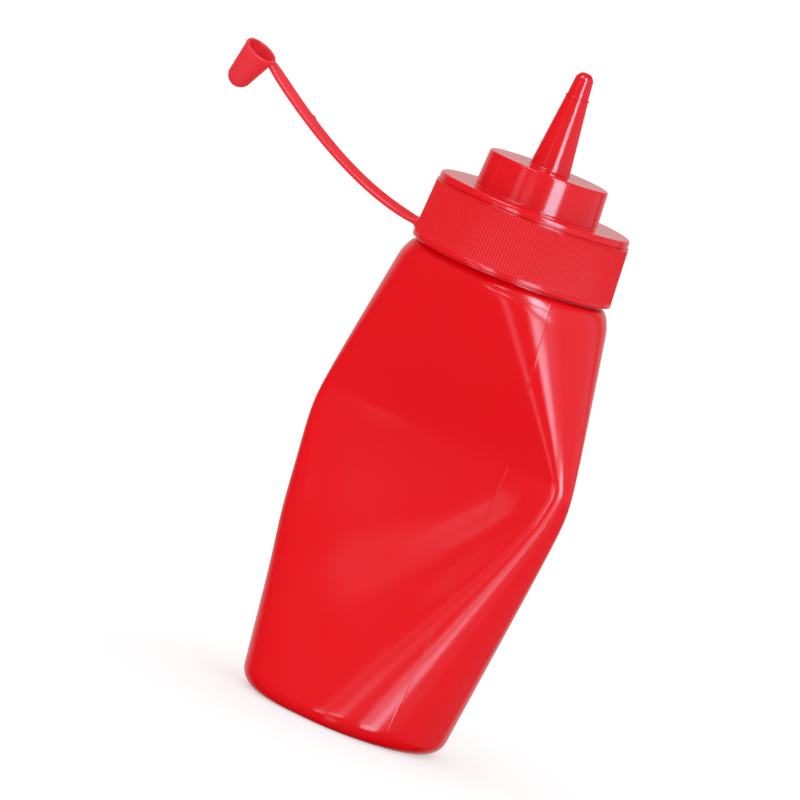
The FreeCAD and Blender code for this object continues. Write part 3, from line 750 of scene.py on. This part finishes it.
def moulded_group():
    """Shared look of moulded plastic: cloudy pigment, uneven gloss and a fine grain."""
    name = "Moulded plastic"
    if name in bpy.data.node_groups:
        return bpy.data.node_groups[name]
    group = bpy.data.node_groups.new(name, "ShaderNodeTree")
    inputs = (("Colour", "NodeSocketColor", (0.8, 0.0, 0.0, 1)),
              ("Deep Colour", "NodeSocketColor", (0.7, 0.0, 0.0, 1)),
              ("Cloud Fineness", "NodeSocketFloat", 60.0),
              ("Grain Fineness", "NodeSocketFloat", 1500.0),
              ("Roughness", "NodeSocketFloat", 0.2),
              ("Roughness Change", "NodeSocketFloat", 0.05))
    outputs = (("Colour", "NodeSocketColor"), ("Roughness", "NodeSocketFloat"), ("Height", "NodeSocketFloat"))
    for label, kind, value in inputs:
        group.interface.new_socket(label, in_out="INPUT", socket_type=kind).default_value = value
    for label, kind in outputs:
        group.interface.new_socket(label, in_out="OUTPUT", socket_type=kind)
    given = group.nodes.new("NodeGroupInput").outputs
    result = group.nodes.new("NodeGroupOutput").inputs
    place = node(group, "ShaderNodeTexCoord").outputs["Object"]
    clouds = node(group, "ShaderNodeTexNoise", Vector=place, Scale=given["Cloud Fineness"],
                  Detail=3.0, Roughness=0.55)
    grain = node(group, "ShaderNodeTexNoise", Vector=place, Scale=given["Grain Fineness"],
                 Detail=4.0, Roughness=0.6)
    mixed = group.nodes.new("ShaderNodeMix")
    mixed.data_type = "RGBA"
    group.links.new(clouds.outputs["Fac"], mixed.inputs["Factor"])
    # The colours' sockets are the third pair, after those for plain values and vectors.
    group.links.new(given["Colour"], mixed.inputs[6])
    group.links.new(given["Deep Colour"], mixed.inputs[7])
    group.links.new(mixed.outputs[2], result["Colour"])
    centred = node(group, "ShaderNodeMath", operation="SUBTRACT")
    group.links.new(clouds.outputs["Fac"], centred.inputs[0])
    centred.inputs[1].default_value = 0.5
    uneven = node(group, "ShaderNodeMath", operation="MULTIPLY_ADD")
    group.links.new(centred.outputs[0], uneven.inputs[0])
    group.links.new(given["Roughness Change"], uneven.inputs[1])
    group.links.new(given["Roughness"], uneven.inputs[2])
    group.links.new(uneven.outputs[0], result["Roughness"])
    group.links.new(grain.outputs["Fac"], result["Height"])
    return group


def plastic(name, colour_shown, deep, roughness, cloud_fineness, grain_fineness, grain_height, soft=0.0):
    """A moulded plastic. Soft plastics let a little light in."""
    material = bpy.data.materials.new(name)
    material.use_nodes = True
    tree = material.node_tree
    shader = tree.nodes["Principled BSDF"]
    look = tree.nodes.new("ShaderNodeGroup")
    look.node_tree = moulded_group()
    look.inputs["Colour"].default_value = (*colour_shown, 1)
    look.inputs["Deep Colour"].default_value = (*deep, 1)
    look.inputs["Cloud Fineness"].default_value = cloud_fineness
    look.inputs["Grain Fineness"].default_value = grain_fineness
    look.inputs["Roughness"].default_value = roughness
    look.inputs["Roughness Change"].default_value = GLOSS_CHANGE
    bump = node(tree, "ShaderNodeBump", Strength=GRAIN_STRENGTH, Distance=grain_height)
    tree.links.new(look.outputs["Height"], bump.inputs["Height"])
    tree.links.new(look.outputs["Colour"], shader.inputs["Base Color"])
    tree.links.new(look.outputs["Roughness"], shader.inputs["Roughness"])
    tree.links.new(bump.outputs["Normal"], shader.inputs["Normal"])
    shader.inputs["IOR"].default_value = PLASTIC_IOR
    shader.inputs["Subsurface Weight"].default_value = soft
    shader.inputs["Subsurface Radius"].default_value = LIGHT_DEPTHS
    shader.inputs["Subsurface Scale"].default_value = SOFT_DEPTH
    return material


def matte_between(material, low, high, roughness):
    """Makes a material matte between two heights, as where the mould wasn't polished."""
    tree = material.node_tree
    shader = tree.nodes["Principled BSDF"]
    place = tree.nodes.new("ShaderNodeTexCoord").outputs["Object"]
    apart = node(tree, "ShaderNodeSeparateXYZ", Vector=place)
    above = node(tree, "ShaderNodeMath", operation="GREATER_THAN")
    below = node(tree, "ShaderNodeMath", operation="LESS_THAN")
    for test, height in ((above, low), (below, high)):
        tree.links.new(apart.outputs["Z"], test.inputs[0])
        test.inputs[1].default_value = height
    inside = node(tree, "ShaderNodeMath", operation="MULTIPLY")
    tree.links.new(above.outputs[0], inside.inputs[0])
    tree.links.new(below.outputs[0], inside.inputs[1])
    for label, matte in (("Roughness", roughness), ("Specular IOR Level", MATTE_SPECULAR)):
        gloss = shader.inputs[label]
        chosen = tree.nodes.new("ShaderNodeMix")
        tree.links.new(inside.outputs[0], chosen.inputs["Factor"])
        if gloss.is_linked:
            tree.links.new(gloss.links[0].from_socket, chosen.inputs["A"])
        else:
            chosen.inputs["A"].default_value = gloss.default_value
        chosen.inputs["B"].default_value = matte
        tree.links.new(chosen.outputs["Result"], gloss)


def strap_material(finishes):
    """The softer plastic that the strap and the tip cap share."""
    name = "Strap plastic"
    if name in bpy.data.materials:
        return bpy.data.materials[name]
    return plastic(name, finishes.strap_colour, finishes.strap_deep, finishes.strap_roughness,
                   cloud_fineness=120.0, grain_fineness=2200.0, grain_height=0.003 * MM, soft=0.6)


def finished(piece, material, slot, *cad_nodes):
    """Gives a piece its material and its body, and hides the CAD nodes that it stands for. The slot is not
    used.
    """
    piece.data.materials.append(material)
    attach(piece, "root")
    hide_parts(*cad_nodes)
    return piece


# ---------------------------------------------------------------- studio

LAMPS = (
    # name, azimuth, lowest and highest elevation, half width in degrees, radiance
    ("Right low lamp", 21, -30, -12.5, 9, 13.0),
    ("Right hook lamp", 9.5, -12.5, -7.5, 3.5, 5.0),
    ("Right middle lamp", 14.5, -7, -1.5, 6, 3.0),
    ("Right join lamp", 25.5, -12, -3, 5, 2.2),
    ("Right cap lamp", 27, -1.2, 18, 10.5, 14.0),
    ("Right high lamp", 27, 24, 60, 12, 18.0),
    ("Left low lamp", -27, -50, -22, 6, 1.9),
    ("Left fold lamp", -42.5, -18, -4, 5, 6.0),
    ("Left cap lamp", -24, -9, 2.0, 7, 6.0),
    ("Left cap edge lamp", -18, -6, 1.5, 2.5, 3.0),
    ("Left crease lamp", -43.5, 3, 8, 5.5, 1.7),
    ("Left second crease lamp", -40, 8, 12.5, 4.5, 0.9),
    ("Left bulge lamp", -41, 14.5, 22, 6, 0.5),
    ("Far left lamp", -77, 18, 30, 5, 0.35),
    ("Left high lamp", -50, 42, 66, 21, 11.0),
    ("Right side panel", 84, -6, 45, 46, 0.55),
    ("Right low side panel", 42, -22, -7, 20, 0.5),
    ("Far right low side panel", 98, -40, -7, 34, 0.2),
)
LAMP_DISTANCE = 1.3                         # distance of the gloss lamps from the axis
LAMP_HEIGHT = 0.09                          # height that the lamps' elevations are seen from
GLOSS_COLOUR = (0.3, 0.82, 1.0)             # cool, so that a highlight on red plastic turns pale pink
KEY_PLACE = Vector((-0.3, -1.6, 0.45))      # place of the soft key lamp, which shines at the bottle's foot
KEY_SIZE = (1.4, 0.8)                       # its width and height
KEY_RADIANCE = 0.45
SENSOR_WIDTH = 36.0                         # width of the camera's sensor, in millimetres
SEEN_FROM = 0.1                             # nearest distance that the camera shows
SEEN_TO = 60.0                              # farthest distance that it shows
FLOOR_REACH = 9.0                           # half of the floor's side
FLOOR_GLOW = 0.5                            # share of the seen floor's white that glows, shadow or not
# How strongly the gloss sees the white surroundings, by how far they lie behind the bottle.
GLOSS_BACKDROP = {"From Min": 0.6, "From Max": 1.0, "To Min": 0.0, "To Max": 0.55}


def hang_lamp(name, place, facing, width, height, radiance):
    """A rectangular lamp at a place that shines along its facing."""
    lamp = bpy.data.lights.new(name, "AREA")
    lamp.shape = "RECTANGLE"
    lamp.size = width
    lamp.size_y = height
    lamp.energy = radiance * math.pi * width * height
    made = bpy.data.objects.new(name, lamp)
    made.location = place
    made.rotation_mode = "QUATERNION"
    made.rotation_quaternion = (-facing).to_track_quat("Z", "Y")
    made.visible_camera = False
    bpy.context.scene.collection.objects.link(made)
    return made


def hang_gloss_lamp(name, azimuth, low, high, half_width, radiance):
    """An upright lamp that only shows in the gloss. Azimuth 0 is in front and 90 is to the right."""
    turn = math.radians(azimuth)
    towards = Vector((math.sin(turn), -math.cos(turn), 0))
    foot = LAMP_DISTANCE * math.tan(math.radians(low))
    head = LAMP_DISTANCE * math.tan(math.radians(high))
    width = 2 * LAMP_DISTANCE * math.tan(math.radians(half_width))
    place = towards * LAMP_DISTANCE + UP * (LAMP_HEIGHT + (foot + head) / 2)
    made = hang_lamp(name, place, -towards, width, head - foot, radiance)
    made.data.color = GLOSS_COLOUR
    made.visible_diffuse = False
    return made


def rays_that_see_the_backdrop(tree, path):
    """1 for camera, glossy and transmission rays, 0 for the rays that carry light."""
    first = node(tree, "ShaderNodeMath", operation="MAXIMUM")
    tree.links.new(path.outputs["Is Camera Ray"], first.inputs[0])
    tree.links.new(path.outputs["Is Glossy Ray"], first.inputs[1])
    second = node(tree, "ShaderNodeMath", operation="MAXIMUM")
    tree.links.new(first.outputs[0], second.inputs[0])
    tree.links.new(path.outputs["Is Transmission Ray"], second.inputs[1])
    return second.outputs[0]


def floor_material(floor_colour):
    """A pale floor that keeps the shadow and reads as white to the camera."""
    material = bpy.data.materials.new("Pale floor")
    material.use_nodes = True
    tree = material.node_tree
    tree.nodes.clear()
    shaded = 1 - FLOOR_GLOW
    plain = node(tree, "ShaderNodeBsdfDiffuse", Color=(*floor_colour, 1))
    glow = node(tree, "ShaderNodeEmission", Color=(1, 1, 1, 1), Strength=FLOOR_GLOW)
    half = node(tree, "ShaderNodeBsdfDiffuse", Color=(shaded, shaded, shaded, 1))
    white = tree.nodes.new("ShaderNodeAddShader")
    tree.links.new(half.outputs[0], white.inputs[0])
    tree.links.new(glow.outputs[0], white.inputs[1])
    path = tree.nodes.new("ShaderNodeLightPath")
    seen = rays_that_see_the_backdrop(tree, path)
    choice = tree.nodes.new("ShaderNodeMixShader")
    tree.links.new(seen, choice.inputs[0])
    tree.links.new(plain.outputs[0], choice.inputs[1])
    tree.links.new(white.outputs[0], choice.inputs[2])
    out = tree.nodes.new("ShaderNodeOutputMaterial")
    tree.links.new(choice.outputs[0], out.inputs["Surface"])
    return material


def lay_floor(floor_colour):
    """The pale floor, which the gloss doesn't show."""
    far = FLOOR_REACH
    mesh = bpy.data.meshes.new("studio_floor")
    mesh.from_pydata([(-far, -far, 0), (far, -far, 0), (far, far, 0), (-far, far, 0)], [], [(0, 1, 2, 3)])
    ground = bpy.data.objects.new("studio_floor", mesh)
    ground.data.materials.append(floor_material(floor_colour))
    ground.visible_glossy = False
    bpy.context.scene.collection.objects.link(ground)


def hang_lamps():
    """The lamps that show in the gloss, and one soft lamp that only lights."""
    for lamp in LAMPS:
        hang_gloss_lamp(*lamp)
    key = hang_lamp("Soft key lamp", KEY_PLACE, -KEY_PLACE.normalized(), *KEY_SIZE, KEY_RADIANCE)
    key.visible_glossy = False


def surroundings(strength):
    """An even white light from all round. The gloss sees it only behind the bottle."""
    world = bpy.data.worlds.new("Studio surroundings")
    world.use_nodes = True
    tree = world.node_tree
    tree.nodes.clear()
    fill = node(tree, "ShaderNodeBackground", Color=(1, 1, 1, 1), Strength=strength)
    direction = tree.nodes.new("ShaderNodeTexCoord").outputs["Generated"]
    apart = node(tree, "ShaderNodeSeparateXYZ", Vector=direction)
    behind = tree.nodes.new("ShaderNodeMapRange")
    behind.interpolation_type = "SMOOTHSTEP"
    for label, value in GLOSS_BACKDROP.items():
        behind.inputs[label].default_value = value
    tree.links.new(apart.outputs["Y"], behind.inputs["Value"])
    path = tree.nodes.new("ShaderNodeLightPath")
    strongest = node(tree, "ShaderNodeMath", operation="MAXIMUM")
    tree.links.new(path.outputs["Is Camera Ray"], strongest.inputs[0])
    tree.links.new(behind.outputs["Result"], strongest.inputs[1])
    backdrop = node(tree, "ShaderNodeBackground", Color=(1, 1, 1, 1))
    tree.links.new(strongest.outputs[0], backdrop.inputs["Strength"])
    choice = tree.nodes.new("ShaderNodeMixShader")
    tree.links.new(rays_that_see_the_backdrop(tree, path), choice.inputs[0])
    tree.links.new(fill.outputs[0], choice.inputs[1])
    tree.links.new(backdrop.outputs[0], choice.inputs[2])
    out = tree.nodes.new("ShaderNodeOutputWorld")
    tree.links.new(choice.outputs[0], out.inputs["Surface"])
    return world


def place_camera(studio):
    """The camera in front of the bottle, turned about its own line of sight."""
    lens = bpy.data.cameras.new("Studio camera")
    lens.sensor_width = SENSOR_WIDTH
    lens.lens = studio.camera_lens
    lens.clip_start = SEEN_FROM
    lens.clip_end = SEEN_TO
    camera = bpy.data.objects.new("Studio camera", lens)
    place = Vector((0, -studio.camera_back, studio.camera_height))
    forward = (Vector(studio.camera_aim) - place).normalized()
    turn = forward.to_track_quat("-Z", "Y").to_matrix() @ Matrix.Rotation(studio.camera_roll, 3, "Z")
    camera.matrix_world = Matrix.Translation(place) @ turn.to_4x4()
    bpy.context.scene.collection.objects.link(camera)
    return camera


# ---------------------------------------------------------------- operators

class BuildBottle(bpy.types.Operator):
    """Builds the pressed bottle with its base, shoulder, neck and mould seams"""
    bl_idname = "squeeze.bottle"
    bl_label = "Bottle"

    def execute(self, context):
        finishes = context.scene.squeeze_finishes
        piece = shell("bottle_shell", bottle_rings(context.scene.squeeze_bottle))
        look = plastic("Soft bottle plastic", finishes.bottle_colour, finishes.bottle_deep,
                       finishes.bottle_roughness, cloud_fineness=45.0, grain_fineness=1400.0,
                       grain_height=0.004 * MM)
        finished(piece, look, "bottle_plastic", "bottle_body")
        return {"FINISHED"}


class BuildScrewCap(bpy.types.Operator):
    """Builds the ribbed screw cap with its lip, turret, cone nozzle and bore"""
    bl_idname = "squeeze.screw_cap"
    bl_label = "Screw cap"

    def execute(self, context):
        finishes = context.scene.squeeze_finishes
        piece = shell("screw_cap_shell", cap_rings(context.scene.squeeze_cap))
        look = plastic("Glossy cap plastic", finishes.cap_colour, finishes.cap_deep,
                       finishes.cap_roughness, cloud_fineness=70.0, grain_fineness=2200.0,
                       grain_height=0.002 * MM)
        matte_between(look, CAP_FOOT + RIBS_FROM, CAP_FOOT + RIBS_TO - MATTE_MARGIN, finishes.rib_roughness)
        finished(piece, look, "cap_plastic", "screw_cap")
        return {"FINISHED"}


class BuildTipCap(bpy.types.Operator):
    """Builds the hollow tip cap"""
    bl_idname = "squeeze.tip_cap"
    bl_label = "Tip cap"

    def execute(self, context):
        piece = shell("tip_cap_shell", tip_cap_rings(context.scene.squeeze_tip_cap))
        finished(piece, strap_material(context.scene.squeeze_finishes), "strap_plastic", "tip_cap")
        return {"FINISHED"}


class BuildStrap(bpy.types.Operator):
    """Builds the springy strap between the skirt and the tip cap"""
    bl_idname = "squeeze.strap"
    bl_label = "Strap"

    def execute(self, context):
        scene = context.scene
        rings = strap_rings(scene.squeeze_strap, scene.squeeze_cap, scene.squeeze_tip_cap)
        piece = shell("tether_strap_band", rings)
        finished(piece, strap_material(scene.squeeze_finishes), "strap_plastic", "tether_strap")
        return {"FINISHED"}


class BuildStudio(bpy.types.Operator):
    """Builds the pale floor, the white surroundings, the lamps and the camera"""
    bl_idname = "squeeze.studio"
    bl_label = "Studio"

    def execute(self, context):
        scene = context.scene
        studio = scene.squeeze_studio
        lay_floor(studio.floor_colour)
        hang_lamps()
        scene.world = surroundings(studio.fill)
        scene.camera = place_camera(studio)
        scene.view_settings.view_transform = "Standard"
        return {"FINISHED"}


# ---------------------------------------------------------------- panel and registration

OPERATORS = (BuildBottle, BuildScrewCap, BuildTipCap, BuildStrap, BuildStudio)
GROUPS = {"squeeze_bottle": BottleSizes, "squeeze_cap": CapSizes, "squeeze_tip_cap": TipCapSizes,
          "squeeze_strap": StrapSizes, "squeeze_finishes": Finishes, "squeeze_studio": Studio}


class SqueezePanel(bpy.types.Panel):
    """Lists the pieces of the squeeze bottle and their sizes"""
    bl_idname = "VIEW3D_PT_squeeze_bottle"
    bl_label = "Squeeze Bottle"
    bl_space_type = "VIEW_3D"
    bl_region_type = "UI"
    bl_category = "Squeeze Bottle"

    def draw(self, context):
        for operator in OPERATORS:
            self.layout.operator(operator.bl_idname)
        for name, group in GROUPS.items():
            box = self.layout.box()
            box.label(text=group.__doc__)
            for size in group.__annotations__:
                box.prop(getattr(context.scene, name), size)


def register():
    """Registers the sizes, the operators and the panel."""
    for group in GROUPS.values():
        bpy.utils.register_class(group)
    for name, group in GROUPS.items():
        setattr(bpy.types.Scene, name, PointerProperty(type=group))
    for item in (*OPERATORS, SqueezePanel):
        bpy.utils.register_class(item)


def unregister():
    """Takes the panel, the operators and the sizes out again."""
    for item in reversed((*OPERATORS, SqueezePanel)):
        bpy.utils.unregister_class(item)
    for name in GROUPS:
        delattr(bpy.types.Scene, name)
    for group in reversed(list(GROUPS.values())):
        bpy.utils.unregister_class(group)


def main():
    """Builds every piece and the studio."""
    register()
    bpy.ops.squeeze.bottle()
    bpy.ops.squeeze.screw_cap()
    bpy.ops.squeeze.tip_cap()
    bpy.ops.squeeze.strap()
    bpy.ops.squeeze.studio()


if __name__ == "__main__":
    main()
